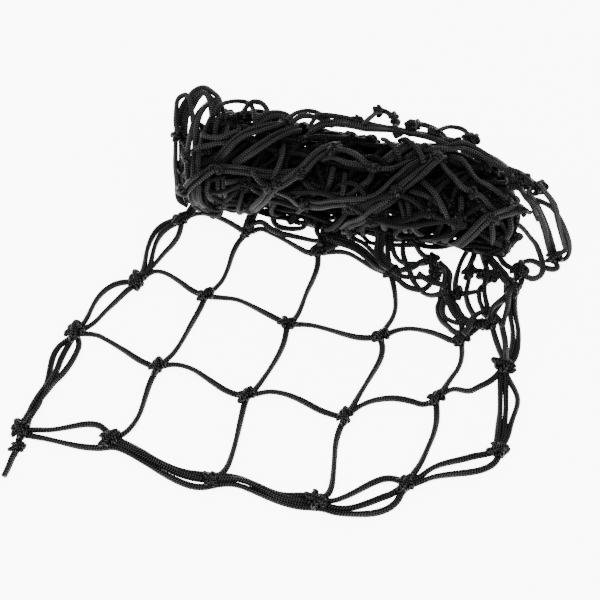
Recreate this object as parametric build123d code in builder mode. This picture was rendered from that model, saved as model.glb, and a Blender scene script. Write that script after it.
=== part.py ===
"""Knotted cord net for a tennis court: a strip of square mesh, mostly rolled up, with its
near rows laid out flat on the floor in front of the roll.  Millimetres, +Z up, and the
origin at the bottom centre of the whole object."""

from build123d import *
from math import cos, hypot, pi, radians, sin, tan
import os

# ---- driving dimensions -------------------------------------------------------------------
CORD_D = 2.5                    # braided cord, diameter
CORD_Z = 1.35                   # height of a cord's centre line where it lies on the floor
BEND_SHARE = 0.45               # share of the shorter run that each bend takes up
FOLD_BALL = 2.5                 # from a fold line to the centre of each cord's ball end
MESH_KNOT = (8.2, 5.8)          # length and width of a knot inside the net
BORDER_KNOT = (10.6, 7.6)       # the same for a knot that ties the doubled border cords
KNOT_WAIST = 0.5                # the turn round a knot's waist stands out from its lobes by this
KNOT_SUNK = 0.2                 # a knot's underside is pressed flat by this much
STOPPER_R = 3.0                 # round stopper knot at the corner
DATUM = (-4.0, 6.5)             # plan positions below are moved by this to centre the frame

# Fold lines on the floor, each through two points.  The net in front of a fold line lifts.
NEAR_FOLD = ((-95, -3), (95, -53))
CORNER_FOLD = ((-117.3, -56), (-105, -75))

# ---- knots: plan position, direction of the knot's long side in degrees, kind ---------------
KNOTS = {
    "corner_knot": ((-124, -73), 80, "border"),
    "near_knot_1": ((-84, -77.5), 10, "border"),
    "near_knot_2": ((-38.5, -97), -80, "border"),
    "near_knot_3": ((6.5, -106.5), -60, "border"),
    "near_knot_4": ((45, -99), 15, "border"),
    "near_knot_5": ((86.5, -83), -25, "border"),
    "left_knot_1": ((-106.5, -21), 50, "border"),
    "mesh_knot_11": ((-66, -40), 45, "mesh"),
    "mesh_knot_12": ((-24.5, -55.5), 20, "mesh"),
    "mesh_knot_13": ((20, -66.5), 50, "mesh"),
    "mesh_knot_14": ((61.5, -57), 20, "mesh"),
    "right_knot_1": ((94, -39.5), -60, "border"),
    "left_knot_2": ((-80, 9.5), 70, "border"),
    "mesh_knot_21": ((-46, 1), 10, "mesh"),
    "mesh_knot_22": ((-6, -15.5), -30, "mesh"),
    "mesh_knot_23": ((38, -23), 10, "mesh"),
    "mesh_knot_24": ((76, -25), 20, "mesh"),
    "right_knot_2": ((103.5, 4.5), 60, "border"),
    "left_knot_3": ((-61.5, 49.5), 10, "border"),
    "mesh_knot_31": ((-27, 41), 20, "mesh"),
    "mesh_knot_32": ((9, 28), 0, "mesh"),
    "mesh_knot_33": ((45, 15), 10, "mesh"),
    "right_knot_3": ((108.5, 15.5), 40, "border"),
    "side_knot": ((127, 24), 0, "mesh"),
}
STOPPER = (-124, -81.5)

# ---- cord routes in plan, each point chosen by hand -----------------------------------------
ROW_1 = [(-106, -21), (-96, -21), (-84, -29), (-66, -40), (-54, -38.5), (-40, -48),
         (-24.5, -55.5), (-12, -52.5), (2, -58), (20, -66.5), (31, -58.5), (46, -56.5),
         (61.5, -57), (70, -51.7), (88, -47), (92.5, -41.5)]
ROW_2 = [(-79.5, 10), (-71, 16), (-60, 11), (-46, 1), (-35, 1), (-21, -6), (-6, -15.5),
         (5, -15.5), (20, -21.5), (38, -23), (48, -18), (62, -19), (76, -25), (86, -18),
         (95, -5), (103, 5)]
ROW_3 = [(-61, 50), (-51, 54.5), (-39, 50), (-27, 41), (-15, 41.5), (-2, 32.5), (9, 28),
         (20, 29), (33, 22), (45, 15)]
COLUMN_1 = [(-84, -76.5), (-76, -72.5), (-71, -60), (-66, -40), (-56.5, -26.5), (-46, 1),
            (-39, 9.5), (-35, 24), (-27, 41), (-23, 58)]
COLUMN_2 = [(-38.5, -96.5), (-32, -91), (-28.5, -77), (-24.5, -56), (-16, -44), (-10, -33),
            (-6, -15.5), (1, -3), (6, 12), (9, 28), (12, 41), (16, 53)]
COLUMN_3 = [(7, -105), (13, -100), (14.5, -86), (19.5, -67), (28, -51.5), (38, -23),
            (45, -10), (46.5, 3), (45, 15), (42, 30), (44, 44)]
COLUMN_4 = [(44.5, -98), (51, -91), (57.5, -78), (61.5, -57), (73.5, -37), (76, -25),
            (77.5, -16), (75, -8)]
NEAR_A = [(-124, -72), (-112, -73), (-98, -70), (-89.5, -70.5), (-84, -75.3), (-74.5, -79.3),
          (-61, -87), (-49.5, -92.4), (-38.5, -94), (-28, -94.8), (-13.5, -101), (-3, -104),
          (7, -103.4), (15, -105), (24, -101.8), (36, -96), (44.5, -96.5), (53, -94),
          (62, -89), (74, -86.5), (84, -84)]
NEAR_B = [(-124, -75.2), (-112, -77), (-98, -80), (-85, -81.6), (-75.3, -85.6),
          (-62.8, -93.2), (-50.5, -98.6), (-38.5, -100), (-27, -101.2), (-15.5, -106.7),
          (-4, -110.3), (7, -110), (16, -112.8), (28, -113.5), (38, -110.5), (43.5, -102.5),
          (48, -98.5), (58, -95.3), (74, -93), (83, -90.5), (87, -84.5)]
NEAR_C = [(-84, -78), (-74, -82.5), (-62, -90), (-50, -95.5), (-38.5, -97), (-27, -98),
          (-15, -103.8), (-4, -107), (7, -106.5), (17, -109.3), (28, -107.5), (37, -104.3),
          (43.5, -99)]
LEFT_A = [(-126, -71), (-121, -58.5), (-117.8, -46.5), (-116, -36), (-113.5, -28),
          (-109, -22), (-104, -13), (-97, 6.5), (-89, 11), (-79.5, 14), (-77.5, 24),
          (-76.5, 34), (-72, 44), (-62, 51), (-56, 58)]
LEFT_B = [(-123.5, -72), (-119, -61.5), (-115.5, -50), (-112, -37.5), (-107, -23),
          (-96, -12.5), (-79.5, 8), (-75, 21), (-73.6, 33), (-69.5, 42),
          (-61.5, 48), (-54.5, 55)]
LEFT_C = [(-121, -72.8), (-117.2, -64.5), (-113.3, -53), (-108, -41), (-104, -27),
          (-104.5, -19.5)]
LEFT_D = [(-78, 10), (-71, 22.5), (-63, 33), (-60, 42), (-60.5, 49)]
RIGHT_A = [(84.5, -83), (87, -70.5), (89.8, -58.5), (91.2, -46), (92, -37), (96, -24),
           (98.8, -9.5), (102, 4), (107, 15)]
RIGHT_B = [(87.3, -82), (89.9, -70.5), (92.5, -58.5), (94.2, -46), (95, -37), (99.3, -24),
           (102, -9.5), (105, 4), (110, 15)]
RIGHT_C = [(90, -81), (93.5, -70.5), (98.5, -60), (98.5, -50), (97.2, -40.5)]
TAIL = [(-125.6, -85.9), (-126.3, -90.5), (-127.6, -95)]
SIDE_LOOP = [(112, 36, 24), (125, 35, 23), (134, 31, 12), (135, 24, 2.2), (126.5, 24, 2)]
SIDE_LINK = [(127, 24), (126.5, 18.5), (122, 15.5), (116.5, 17.5), (112, 18.5), (108.5, 15.5)]

# ---- the roll and the heap of loops beside it: plan centre, half width, half height ----------
ROLL_HEADING = -13              # the roll's axis in plan, degrees from +X
ROLL_SUNK = 1.0                 # the underside is flattened by its weight by this much
ROLL_STATIONS = [
    ((-67, 68), 13, 12), ((-60, 69), 26, 21), ((-46, 69.5), 32, 26), ((-22, 69), 33, 27.5),
    ((2, 65), 33, 27.5), ((26, 59), 33.5, 28), ((50, 53.5), 34, 27), ((75, 47), 33, 26.5),
    ((97, 40.5), 27, 22), ((113, 35), 19, 16), ((121, 32), 10, 9),
]
DRAPE_HEADING = 8
DRAPE_SUNK = 1.5
DRAPE_STATIONS = [
    ((55, 5), 8, 4), ((64, 6), 14, 8), ((76, 7), 18, 11), ((86, 10), 17, 10), ((94, 15), 8, 6),
]


def moved(points):
    """Plan points in the frame of the part, at the height of a cord on the floor."""
    return [Vector(p[0] + DATUM[0], p[1] + DATUM[1], p[2] if len(p) > 2 else CORD_Z)
            for p in points]


def side_of(point, line):
    """Signed distance of a plan point from a fold line, negative in front of it."""
    (ax, ay), (bx, by) = line
    return ((bx - ax) * (point[1] - ay) - (by - ay) * (point[0] - ax)) / hypot(bx - ax, by - ay)


def split_at(points, line):
    """Cuts a plan route at a fold line.  Both parts stop short of the line."""
    for i in range(len(points) - 1):
        here, after = side_of(points[i], line), side_of(points[i + 1], line)
        if here * after < 0:
            (x0, y0), (x1, y1) = points[i], points[i + 1]
            share, pull = here / (here - after), FOLD_BALL / hypot(x1 - x0, y1 - y0)
            cut = [(x0 + (x1 - x0) * s, y0 + (y1 - y0) * s) for s in (share - pull, share + pull)]
            return points[:i + 1] + cut[:1], cut[1:] + points[i + 1:]
    raise ValueError("the route does not cross the fold line")


def bend_radii(points):
    """One radius for each corner of a route, as large as its two runs allow."""
    radii = []
    for a, b, c in zip(points, points[1:], points[2:]):
        turn = radians((b - a).get_angle(c - b))
        radii.append(BEND_SHARE * min((b - a).length, (c - b).length) / tan(turn / 2))
    return radii


def cord(name, plan, ball_ends=""):
    """A cord as a tube of straight runs and tangent arcs.  Ball ends face a fold line."""
    points = moved(plan)
    radii = bend_radii(points)
    with BuildPart() as tube:
        with BuildLine() as route:
            FilletPolyline(*points, radius=radii)
        path = route.wires()[0]
        with BuildSketch(Plane(origin=path @ 0, z_dir=path % 0)):
            Circle(CORD_D / 2)
        sweep(path=path)
        ideal = path.length * CORD_D ** 2 * pi / 4
        print(f"{name:22s} length {path.length:6.1f}  least radius {min(radii):5.1f}  "
              f"volume/ideal {tube.part.volume / ideal:.4f}")
        for end in ball_ends:
            with Locations(points[0] if end == "s" else points[-1]):
                Sphere(CORD_D / 2)
    return tube.part


def knot_shape(size):
    """A tied knot: two rounded lobes end to end, with one turn of cord round the waist."""
    length, width = size
    lobe, turn = width / 2 - KNOT_WAIST, width / 2 - CORD_D / 2
    lobe_place, height = length / 2 - lobe, width / 2 - KNOT_SUNK
    with BuildPart() as knot:
        with BuildSketch(Plane(origin=(0, 0, height), x_dir=(1, 0, 0), z_dir=(0, -1, 0))):
            with Locations((-lobe_place, 0), (lobe_place, 0)):
                Circle(lobe)
            with Locations((0, turn)):
                Circle(CORD_D / 2)
            Rectangle(length, width, align=(Align.CENTER, Align.MIN), mode=Mode.INTERSECT)
        revolve(axis=Axis((0, 0, height), (1, 0, 0)))
        split(bisect_by=Plane.XY, keep=Keep.TOP)
    return knot.part


def lofted_bundle(stations, heading, sunk):
    """A soft bundle of net as one closed form through oval sections, flat underneath."""
    along = Vector(cos(radians(heading)), sin(radians(heading)), 0)
    with BuildPart() as bundle:
        for (x, y), half_width, half_height in stations:
            centre = (x + DATUM[0], y + DATUM[1], half_height - sunk)
            across = Vector(-along.Y, along.X, 0)
            with BuildSketch(Plane(origin=centre, x_dir=across, z_dir=along)):
                Ellipse(half_width, half_height)
        loft()
        split(bisect_by=Plane.XY, keep=Keep.TOP)
    return bundle.part


def finish(name, *shapes):
    """Labels a piece and writes its file."""
    with BuildPart() as piece:
        for shape in shapes:
            add(shape)
    piece.part.label = name
    export_step(piece.part, f"parts/{name}.step")


os.makedirs("parts", exist_ok=True)

# ---- the roll and the heap of loops ----------------------------------------------------------
roll = lofted_bundle(ROLL_STATIONS, ROLL_HEADING, ROLL_SUNK)
drape = lofted_bundle(DRAPE_STATIONS, DRAPE_HEADING, DRAPE_SUNK) - roll
finish("rolled_net", roll)
finish("draped_loops", drape)

# ---- knots -----------------------------------------------------------------------------------
shapes = {"mesh": knot_shape(MESH_KNOT), "border": knot_shape(BORDER_KNOT)}
for name, ((x, y), heading, kind) in KNOTS.items():
    place = Location((x + DATUM[0], y + DATUM[1], 0), (0, 0, heading))
    finish(name, shapes[kind].moved(place))

with BuildPart() as stopper_knot:
    with Locations((STOPPER[0] + DATUM[0], STOPPER[1] + DATUM[1], STOPPER_R - KNOT_SUNK)):
        Sphere(STOPPER_R)
    split(bisect_by=Plane.XY, keep=Keep.TOP)
finish("stopper_knot", stopper_knot.part)

# ---- cords: for each node, its stretches of cord and which of their ends are balls -------------
row_1_near, row_1_far = split_at(ROW_1, NEAR_FOLD)
cords = {
    "row_cord_1": [(row_1_near, "e")],
    "row_cord_1_end": [(row_1_far, "s")],
    "row_cord_2": [(ROW_2, "")],
    "row_cord_3": [(ROW_3, "")],
    "corner_near_cords": [],
    "corner_left_cords": [],
    "near_border_c": [(NEAR_C, "")],
    "left_border_far_d": [(LEFT_D, "")],
    "side_loop": [(SIDE_LOOP, "")],
    "side_link": [(SIDE_LINK, "")],
    "tail_cord": [(TAIL, "s")],
}
for number, route in enumerate((COLUMN_1, COLUMN_2, COLUMN_3, COLUMN_4), start=1):
    near, far = split_at(route, NEAR_FOLD)
    cords[f"column_cord_{number}_near"] = [(near, "e")]
    cords[f"column_cord_{number}_far"] = [(far, "s")]

for letter, route in (("a", NEAR_A), ("b", NEAR_B)):
    corner, rest = split_at(route, CORNER_FOLD)
    cords["corner_near_cords"].append((corner, "e"))
    cords[f"near_border_{letter}"] = [(rest, "s")]

for letter, route in (("a", LEFT_A), ("b", LEFT_B), ("c", LEFT_C)):
    corner, rest = split_at(route, CORNER_FOLD)
    cords["corner_left_cords"].append((corner, "e"))
    if letter == "c":
        cords["left_border_near_c"] = [(rest, "s")]
    else:
        near, far = split_at(rest, NEAR_FOLD)
        cords[f"left_border_near_{letter}"] = [(near, "se")]
        cords[f"left_border_far_{letter}"] = [(far, "s")]

for letter, route in (("a", RIGHT_A), ("b", RIGHT_B), ("c", RIGHT_C)):
    near, far = split_at(route, NEAR_FOLD)
    cords[f"right_border_near_{letter}"] = [(near, "e")]
    cords[f"right_border_far_{letter}"] = [(far, "s")]

for name, stretches in cords.items():
    finish(name, *[cord(name, route, ball_ends) for route, ball_ends in stretches])
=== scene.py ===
"""Looks of the rolled-up court net: braided cords laid out in front, knots, and the roll
itself, which is a real square mesh wound up and settled by a small particle simulation.
Positions are in millimetres in plan, as in the part, and turned into metres by place()."""

from math import cos, pi, radians, sin, tau

import bpy
import numpy as np
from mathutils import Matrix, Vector


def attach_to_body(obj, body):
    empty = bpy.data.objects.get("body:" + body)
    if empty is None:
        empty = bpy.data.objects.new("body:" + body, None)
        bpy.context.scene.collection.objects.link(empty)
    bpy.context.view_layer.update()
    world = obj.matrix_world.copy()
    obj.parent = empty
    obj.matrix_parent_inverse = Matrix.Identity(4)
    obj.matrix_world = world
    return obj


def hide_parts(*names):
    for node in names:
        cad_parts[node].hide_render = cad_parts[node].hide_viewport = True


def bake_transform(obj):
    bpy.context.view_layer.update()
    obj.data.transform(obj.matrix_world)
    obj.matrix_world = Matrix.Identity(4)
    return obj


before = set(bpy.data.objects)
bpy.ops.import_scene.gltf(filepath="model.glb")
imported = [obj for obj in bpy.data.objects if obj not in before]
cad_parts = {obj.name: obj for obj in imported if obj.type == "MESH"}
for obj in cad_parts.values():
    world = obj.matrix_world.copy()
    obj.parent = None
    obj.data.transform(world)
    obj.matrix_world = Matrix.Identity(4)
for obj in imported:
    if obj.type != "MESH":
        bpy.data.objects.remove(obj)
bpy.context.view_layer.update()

# ---- driving sizes, in millimetres ------------------------------------------------------------
MM = 0.001
DATUM = (-4.0, 6.5)           # plan positions below are moved by this into the part's frame
CORD_D = 2.5                  # nominal size, as in the part
CORD_R = 1.36                 # the slack braid is a little wider than its nominal size
ROLLED_R = 1.22               # and is drawn tighter in the roll
CORD_Z = 1.5                  # centre line of a cord that lies on the floor
SIDE = 45.0                   # side of a cell, knot to knot
CORD_STEP = 0.7               # length of one ring of a laid-out cord's mesh
BRAID_PITCH = 1.2             # length of one chevron of the braid
BRAID_COLUMNS = 8             # columns of chevrons round the cord
RELIEF = 0.05                 # height of the strands, as a share of the cord's radius
FLATNESS = 0.13               # the radius is this share larger one way and smaller the other
FLAT_TWIST = 14.0             # the wide side turns by one radian over this length


def place(point):
    """A plan point, with its height if it has one, in metres in the part's frame."""
    height = point[2] if len(point) > 2 else CORD_Z
    return Vector(((point[0] + DATUM[0]) * MM, (point[1] + DATUM[1]) * MM, height * MM))


# ---- camera ----------------------------------------------------------------------------------
def add_camera():
    """Looks along +Y from 54 degrees above the floor, at the point that fills the middle."""
    camera = bpy.data.objects.new("camera", bpy.data.cameras.new("camera"))
    camera.data.lens = 60.0
    camera.data.sensor_width = 36.0
    distance, elevation = 488.0, radians(54)
    target = place((0, 0, 0))
    back = Vector((0, -cos(elevation), sin(elevation)))
    camera.location = target + back * distance * MM
    camera.rotation_mode = "QUATERNION"
    camera.rotation_quaternion = (-back).to_track_quat("-Z", "Y")
    bpy.context.scene.collection.objects.link(camera)
    bpy.context.scene.camera = camera


add_camera()

# ---- routes of the cords that lie in front, each point listed, in millimetres -------------------
ROUTES = {
    "row_1": [
        (-106, -21), (-98, -20.5), (-91, -24.5), (-82, -30.5), (-74, -36.5), (-66, -40),
        (-59, -37.5), (-50, -40), (-41, -47), (-33, -53), (-24.5, -55.5), (-18.5, -53.5),
        (-13, -52.5), (-6, -54), (2, -58), (9.5, -63), (20, -66.5), (25, -61.5), (31, -58),
        (37, -56.5), (43, -56), (50, -57.5), (56, -60), (61.5, -57), (66.7, -52.5), (71, -51),
        (77, -53), (82, -50), (87, -47.5), (92, -43), (94, -39.5)],
    "row_2": [
        (-80, 9.5), (-74.5, 15.7), (-71, 16.8), (-66, 15.3), (-59, 10), (-53, 4.5), (-46, 1),
        (-38, 0.3), (-31, -0.5), (-26, -3), (-18, -8), (-10, -13), (-6, -15.5), (4, -15.5),
        (11, -17.5), (20.5, -21), (28.5, -23.5), (38, -23), (42, -21), (46, -18.7), (52.5, -17.7),
        (60, -19.2), (66, -21.5), (72, -25.2), (76, -25), (85, -17), (93, -10), (100, 1),
        (103.5, 4.5)],
    "row_3": [
        (-61.5, 49.5), (-57, 53), (-51.5, 54.8), (-45, 53.2), (-38, 49.5), (-32, 45), (-27, 41),
        (-20, 44.8), (-15.5, 41.7), (-9.5, 38), (-1.5, 32), (3.5, 28.3), (9, 28), (19, 29.3),
        (25, 28), (31, 23), (38, 17.3), (45, 15)],
    "column_1": [
        (-84, -77.5), (-79, -75.5), (-75, -71), (-72, -65), (-70.5, -57), (-69, -48), (-66, -40),
        (-62, -35.5), (-58.5, -31), (-55.5, -24.5), (-52, -15.5), (-48.5, -7), (-46, 1), (-41.5, 6),
        (-38, 11), (-35.5, 19.5), (-34, 28), (-31, 36), (-27, 41), (-25, 50, 4), (-23, 60, 6)],
    "column_2": [
        (-38.5, -97), (-34.5, -94.5), (-31.5, -91), (-29.5, -84), (-28, -76.5), (-26.5, -67),
        (-24.5, -55.5), (-20.5, -52), (-14, -41), (-10, -33), (-7.5, -26), (-6.5, -19.5),
        (-6, -15.5), (-2, -12), (0.5, -6), (3, 3), (6.5, 11.5), (9, 20), (9, 28), (11, 40, 3),
        (15, 52, 5)],
    "column_3": [
        (6.5, -106.5), (10.5, -105), (13.3, -101.5), (14.3, -95), (15, -87), (15.5, -80),
        (17, -73.5), (20, -66.5), (23.5, -61), (28.5, -51.5), (33.5, -43), (37.5, -35.5), (39, -29),
        (38, -23), (40.5, -18), (44.5, -12), (46.3, -6), (46.5, 1), (46, 8), (45, 15),
        (43.5, 28, 4), (44, 40, 8)],
    "column_4": [
        (45, -99), (48.5, -94.5), (52.5, -89), (56.5, -80.5), (59.5, -74), (61.5, -66), (61.5, -57),
        (64.5, -53), (69.5, -45.5), (74, -39.5), (76, -32), (76, -25), (77.5, -16, 3), (75, -8, 6)],
    "near_border_a": [
        (-124, -73), (-119, -72.3), (-110.5, -72.6), (-103, -71), (-95.5, -69.3), (-89.5, -69.8),
        (-86, -73), (-82, -76.5), (-76, -79.5), (-69, -83), (-61, -88.5), (-51, -93.2),
        (-41.5, -94.3), (-34, -94.5), (-27, -95.2), (-20, -98.5), (-11.5, -103), (-6, -104.3),
        (3, -103.8), (8, -105), (13, -107), (20, -104.3), (25, -101.5), (32, -97.5), (38, -95.5),
        (45, -97.5), (51, -96), (56.5, -91.3), (62.5, -88.8), (70.5, -87), (76.5, -85.2),
        (81, -84.5), (86.5, -83)],
    "near_border_b": [
        (-124, -74.5), (-118.5, -75.5), (-110, -77.3), (-102, -79.5), (-95, -81), (-87.5, -81.5),
        (-82, -80.5), (-76, -82.8), (-68, -88), (-58, -94.5), (-49, -99), (-42, -100.5),
        (-34, -98.5), (-27, -98.8), (-20, -101.8), (-10, -106.3), (-1.5, -109), (5, -109.5),
        (10, -110), (15.5, -112.3), (26.5, -112.5), (32, -112), (37.5, -110), (41.5, -106.5),
        (43.5, -102), (48, -99), (52, -97.5), (58, -95), (68, -93.7), (75, -93), (81.5, -91),
        (86, -87.5), (87, -84)],
    "near_border_c": [
        (-84, -78.5), (-76, -81.2, 2.4), (-68.5, -85.6), (-58, -91.3, 2.2), (-50, -95.3, 2.4),
        (-40, -97), (-32, -96.5, 2.4), (-25, -97, 2.6), (-18, -100.2, 2.6), (-10, -104.8, 2.8),
        (-2, -106.7, 2.2), (6.5, -106.8), (15.7, -110), (22, -110, 2), (28.5, -107.6), (35, -104.8),
        (40, -103), (45, -99)],
    "left_near_a": [
        (-125.5, -71.5), (-122, -65), (-120.5, -60, 3), (-118, -54, 2.8), (-116, -49, 1.4),
        (-115.7, -41), (-115.5, -33.5), (-113.5, -28), (-110, -24.5), (-106.5, -21)],
    "left_near_b": [
        (-123.5, -72), (-119.5, -65, 3.4), (-117.5, -59), (-117.5, -53.5), (-114, -47.5, 3),
        (-112.3, -41, 1.6), (-111.5, -35), (-109.5, -28.5), (-106.5, -21)],
    "left_near_c": [
        (-121.5, -72.5), (-121.5, -66), (-119.3, -60), (-115, -54, 3.2), (-112.8, -47.5, 1.5),
        (-110, -44), (-107.5, -39.5), (-105, -33), (-103.5, -26), (-106, -21.5)],
    "left_far_a": [
        (-106.5, -21), (-104, -16), (-102, -11.5), (-100.5, -5), (-98, 1.5), (-94, 6.5),
        (-89.5, 9.3), (-84, 10), (-80, 10.5), (-78.3, 15.5), (-77.5, 20.5), (-77.3, 30.5),
        (-75, 40.5), (-71, 46.5), (-66, 49.5), (-61.5, 50.5), (-58, 54, 3), (-55.5, 58, 5)],
    "left_far_b": [
        (-106, -21), (-103, -18.3), (-98.5, -15), (-94, -8), (-89, -1.3), (-84.5, 5), (-80, 9),
        (-76.5, 15), (-74.5, 20.5), (-74, 30.5), (-72, 39), (-67.5, 45.5), (-61.5, 49),
        (-56, 52, 2.5), (-53.5, 56, 5)],
    "left_far_d": [
        (-80, 9.5), (-76, 15.5, 2), (-72.5, 21), (-68.5, 28), (-64, 34.5), (-61.2, 41.5),
        (-61, 49.5)],
    "right_a": [
        (86, -82), (87.3, -76), (88.3, -70.5), (90, -63), (91, -55), (91.8, -48), (93.5, -40),
        (97.5, -34.5), (99.8, -29), (101.3, -19), (101, -10.5), (101.3, 0), (103, 6), (106, 11),
        (108.5, 15.5)],
    "right_b": [
        (87.5, -82), (90, -76), (91, -70.5), (92.6, -63), (93.6, -55), (94.4, -48), (95.5, -40),
        (100.2, -35), (102.5, -28.5), (104, -19), (103.6, -10.5), (104, -1), (106, 5), (109.5, 10),
        (110.5, 15.5)],
    "right_c": [
        (86.5, -83), (91, -78), (94.5, -68), (98.3, -60), (98.9, -55), (97.2, -49.5), (94, -41)],
    "side_loop": [
        (113, 38, 31), (120, 35.5, 31), (126, 32.5, 25), (130.5, 29.5, 17), (134, 27.5, 9),
        (134.5, 25, 3), (131, 22.5, 2.2), (126.5, 24, 2)],
    "tail": [
        (-124, -74), (-124, -78), (-124, -81.5), (-124.7, -84), (-125.6, -86), (-126.3, -90.5),
        (-127.6, -95)],
    "side_link": [
        (127, 24), (129, 19.5), (126.5, 17.5), (122.2, 18.5), (119.5, 21), (116.6, 23.4),
        (112.4, 23), (109, 19.5), (108.5, 15.5)],
}

# For each cord: its bodies, from its start on, its slot, and the nodes that it stands for.
NEAR, CORNER, ROLL, TAIL = "near_rows", "corner", "rolled_bundle", "tail"
CORDS = {
    "row_1": ((NEAR, ROLL), "mesh_cord", ("row_cord_1", "row_cord_1_end")),
    "row_2": ((ROLL,), "mesh_cord", ("row_cord_2",)),
    "row_3": ((ROLL,), "mesh_cord", ("row_cord_3",)),
    "column_1": ((NEAR, ROLL), "mesh_cord", ("column_cord_1_near", "column_cord_1_far")),
    "column_2": ((NEAR, ROLL), "mesh_cord", ("column_cord_2_near", "column_cord_2_far")),
    "column_3": ((NEAR, ROLL), "mesh_cord", ("column_cord_3_near", "column_cord_3_far")),
    "column_4": ((NEAR, ROLL), "mesh_cord", ("column_cord_4_near", "column_cord_4_far")),
    "near_border_a": ((CORNER, NEAR), "border_cord", ("near_border_a", "corner_near_cords")),
    "near_border_b": ((CORNER, NEAR), "border_cord", ("near_border_b", "corner_near_cords")),
    "near_border_c": ((NEAR,), "border_cord", ("near_border_c",)),
    "left_near_a": ((CORNER, NEAR), "border_cord", ("left_border_near_a", "corner_left_cords")),
    "left_near_b": ((CORNER, NEAR), "border_cord", ("left_border_near_b", "corner_left_cords")),
    "left_near_c": ((CORNER, NEAR), "border_cord", ("left_border_near_c", "corner_left_cords")),
    "left_far_a": ((NEAR, ROLL), "border_cord", ("left_border_near_a", "left_border_far_a")),
    "left_far_b": ((NEAR, ROLL), "border_cord", ("left_border_near_b", "left_border_far_b")),
    "left_far_d": ((ROLL,), "border_cord", ("left_border_far_d",)),
    "right_a": ((NEAR, ROLL), "border_cord", ("right_border_near_a", "right_border_far_a")),
    "right_b": ((NEAR, ROLL), "border_cord", ("right_border_near_b", "right_border_far_b")),
    "right_c": ((NEAR, ROLL), "border_cord", ("right_border_near_c", "right_border_far_c")),
    "side_loop": ((ROLL,), "border_cord", ("side_loop",)),
    "side_link": ((ROLL,), "border_cord", ("side_link",)),
    "tail": ((CORNER, TAIL), "border_cord", ("tail_cord",)),
}


# ---- materials ---------------------------------------------------------------------------------
# near black of the braid's gaps: painted shade
PAINTED_GAP_SHADE = (0.0003, 0.0003, 0.0003)


def cord_material(name, light, shine, bump=1.0):
    """Black braided cord: columns of chevrons that lean in turn to the left and the right.
    The map's U goes once round the cord, and its V is the length in chevrons. The crests' lighter
    colour is a painted highlight and the near-black gaps between them are painted shade; the crests
    are also shinier."""
    material = bpy.data.materials.new(name)
    material.use_nodes = True
    nodes, links = material.node_tree.nodes, material.node_tree.links
    shader = nodes["Principled BSDF"]

    def math(operation, first, second=0.0):
        node = nodes.new("ShaderNodeMath")
        node.operation = operation
        for socket, value in zip(node.inputs, (first, second)):
            if isinstance(value, (int, float)):
                socket.default_value = value
            else:
                links.new(value, socket)
        return node.outputs[0]

    braid_map = nodes.new("ShaderNodeUVMap")
    braid_map.uv_map = "braid"
    split = nodes.new("ShaderNodeSeparateXYZ")
    links.new(braid_map.outputs[0], split.inputs[0])
    column = math("MULTIPLY", split.outputs[0], BRAID_COLUMNS)
    across = math("FRACT", column)
    lean = math("PINGPONG", column, 1.0)
    along = math("ADD", split.outputs[1], math("MULTIPLY", lean, 0.8))
    rib = math("ADD", math("MULTIPLY", math("SINE", math("MULTIPLY", along, tau)), 0.5), 0.5)
    bulge = math("SINE", math("MULTIPLY", across, pi))
    height = math("MULTIPLY", rib, math("POWER", bulge, 0.6))

    coords = nodes.new("ShaderNodeTexCoord")
    fibre = nodes.new("ShaderNodeTexNoise")
    fibre.inputs["Scale"].default_value = 2600
    fibre.inputs["Detail"].default_value = 3
    links.new(coords.outputs["Object"], fibre.inputs["Vector"])
    wear = nodes.new("ShaderNodeTexNoise")
    wear.inputs["Scale"].default_value = 90
    links.new(coords.outputs["Object"], wear.inputs["Vector"])

    # colour share: painted highlight on the crests and painted shade in the gaps, mixed with random
    # wear
    share = math("ADD", math("MULTIPLY", height, 0.7), math("MULTIPLY", wear.outputs[0], 0.3))
    ramp = nodes.new("ShaderNodeValToRGB")
    ramp.color_ramp.elements[0].color = (*PAINTED_GAP_SHADE, 1)
    ramp.color_ramp.elements[1].color = (*light, 1)
    ramp.color_ramp.elements[0].position = 0.38
    ramp.color_ramp.elements[1].position = 0.85
    links.new(share, ramp.inputs[0])
    links.new(ramp.outputs[0], shader.inputs["Base Color"])
    rough = math("ADD", math("MULTIPLY", fibre.outputs[0], 0.25), 0.38)
    links.new(rough, shader.inputs["Roughness"])
    links.new(math("MULTIPLY", height, shine), shader.inputs["Specular IOR Level"])

    relief = nodes.new("ShaderNodeBump")
    relief.inputs["Strength"].default_value = bump
    relief.inputs["Distance"].default_value = 0.25 * MM
    detail = math("ADD", height, math("MULTIPLY", fibre.outputs[0], 0.25))
    links.new(detail, relief.inputs["Height"])
    links.new(relief.outputs[0], shader.inputs["Normal"])
    return material


MATERIALS = {
    "mesh_cord": cord_material("mesh_cord", (0.03, 0.03, 0.031), 0.22),
    "border_cord": cord_material("border_cord", (0.03, 0.03, 0.031), 0.22),
    # Lit and shaded copies of one cord: the roll's outer and loose cords get a lighter, shinier
    # copy, and the cords and knots inside and under the roll a darker, duller copy, which is
    # painted shade.
    "rolled_net": cord_material("rolled_net", (0.038, 0.038, 0.039), 0.26),
    "rolled_painted_shade": cord_material("rolled_painted_shade", (0.017, 0.017, 0.018), 0.09),
    "knots": cord_material("knots", (0.017, 0.017, 0.018), 0.2, bump=0.3),
}


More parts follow.
